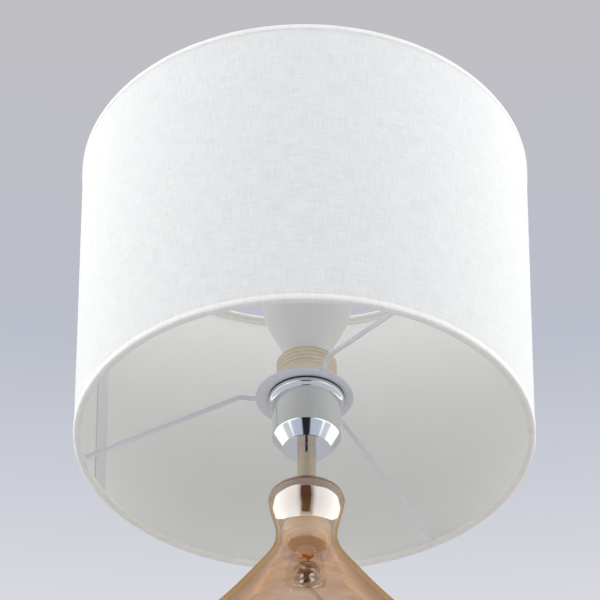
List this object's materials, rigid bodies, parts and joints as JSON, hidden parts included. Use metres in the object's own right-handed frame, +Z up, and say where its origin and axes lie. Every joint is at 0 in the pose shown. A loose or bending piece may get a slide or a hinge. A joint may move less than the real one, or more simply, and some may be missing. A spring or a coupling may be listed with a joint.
{
  "type": "table lamp",
  "caption": "Table lamp: amber lustre glass bottle on a chrome foot, chrome lampholder, drum fabric shade on a wire spider, bulb, and flex with inline switch and plug.",
  "frame": {"origin": "centre of the foot's underside, on the table", "axes": "+Z up along the lamp's axis, +Y towards the side where the flex leaves the foot"},
  "size_m": [0.3149, 0.4159, 0.554],
  "materials": {
    "felt": "dense felt",
    "zinc_steel": "zinc-plated steel",
    "chrome": "polished chrome plate",
    "satin_nickel": "satin nickel plate",
    "fitting_plastic": "ivory nylon",
    "cast_iron": "as cast",
    "rubber": "moulded rubber",
    "clear_gasket": "clear silicone",
    "lustre_glass": "blown amber glass with a lustre coat",
    "holder_plastic": "moulded thermoset",
    "insulator": "unglazed",
    "brass": "pressed brass",
    "white_enamel": "white enamel",
    "shade_linen": "plain-woven linen blend",
    "shade_lining": "white lining sheet",
    "shade_trim": "rolled self-fabric",
    "opal_bulb": "opal diffuser",
    "bulb_metal": "pressed cap",
    "bulb_black": "insulator",
    "flex_sheath": "gold-tinted vinyl",
    "tie_strap": "strap",
    "switch_plastic": "moulded",
    "plug_metal": "nickel-plated brass"
  },
  "bodies": {
    "lamp": {"felt_pad": "felt", "base_plate": "zinc_steel", "base_nipple": "zinc_steel", "base_lock_nut": "zinc_steel", "base_washer": "zinc_steel", "base_nut": "zinc_steel", "clamp_washer": "zinc_steel", "clamp_nut": "zinc_steel", "neck_nipple": "zinc_steel", "holder_nut": "zinc_steel", "terminal_screws": "zinc_steel", "switch_screws": "zinc_steel", "rocker_pin": "zinc_steel", "base_foot": "chrome", "neck_cap": "chrome", "holder_cup": "chrome", "stem_tube": "satin_nickel", "neck_bung": "fitting_plastic", "clamp_spacer": "fitting_plastic", "base_weight": "cast_iron", "seat_gasket": "rubber", "neck_gasket": "clear_gasket", "glass_body": "lustre_glass", "holder_skirt": "holder_plastic", "holder_insert": "insulator", "terminal_block": "insulator", "screw_shell": "brass", "centre_contact": "brass", "switch_contacts": "brass", "inner_lead": "flex_sheath", "flex_tail": "flex_sheath", "flex_lamp_side": "flex_sheath", "flex_wall_side": "flex_sheath", "flex_coil": "flex_sheath", "flex_plug_end": "flex_sheath", "coil_tie": "tie_strap", "switch_base": "switch_plastic", "switch_cover": "switch_plastic", "plug_body": "switch_plastic", "cord_gland": "switch_plastic", "plug_pins": "plug_metal"},
    "shade": {"carrier_ring": "white_enamel", "spider_arm_1": "white_enamel", "spider_arm_2": "white_enamel", "spider_arm_3": "white_enamel", "bottom_ring_wire": "white_enamel", "top_ring_wire": "white_enamel", "shade_fabric": "shade_linen", "shade_liner": "shade_lining", "shade_seam": "shade_lining", "bottom_trim": "shade_trim", "top_trim": "shade_trim"},
    "ring_nut": {"shade_ring_nut": "holder_plastic"},
    "bulb": {"bulb_globe": "opal_bulb", "bulb_cap": "bulb_metal", "bulb_insulator": "bulb_black", "bulb_tip": "bulb_metal"},
    "rocker": {"switch_rocker": "switch_plastic"}
  },
  "joints": [
    {"name": "shade_turn", "type": "hinge", "parent": "lamp", "child": "shade", "pos_m": [0, 0, 0.3636], "axis": [0, 0, 1], "continuous": true},
    {"name": "ring_nut_turn", "type": "hinge", "parent": "lamp", "child": "ring_nut", "pos_m": [0, 0, 0.3658], "axis": [0, 0, 1], "continuous": true},
    {"name": "bulb_lift", "type": "slide", "parent": "lamp", "child": "bulb", "axis": [0, 0, 1], "range_m": [0, 0.03]},
    {"name": "rocker_tilt", "type": "hinge", "parent": "lamp", "child": "rocker", "pos_m": [0.024, 0.246, 0.013], "axis": [0, 1, 0], "range_deg": [0, 14]}
  ]
}
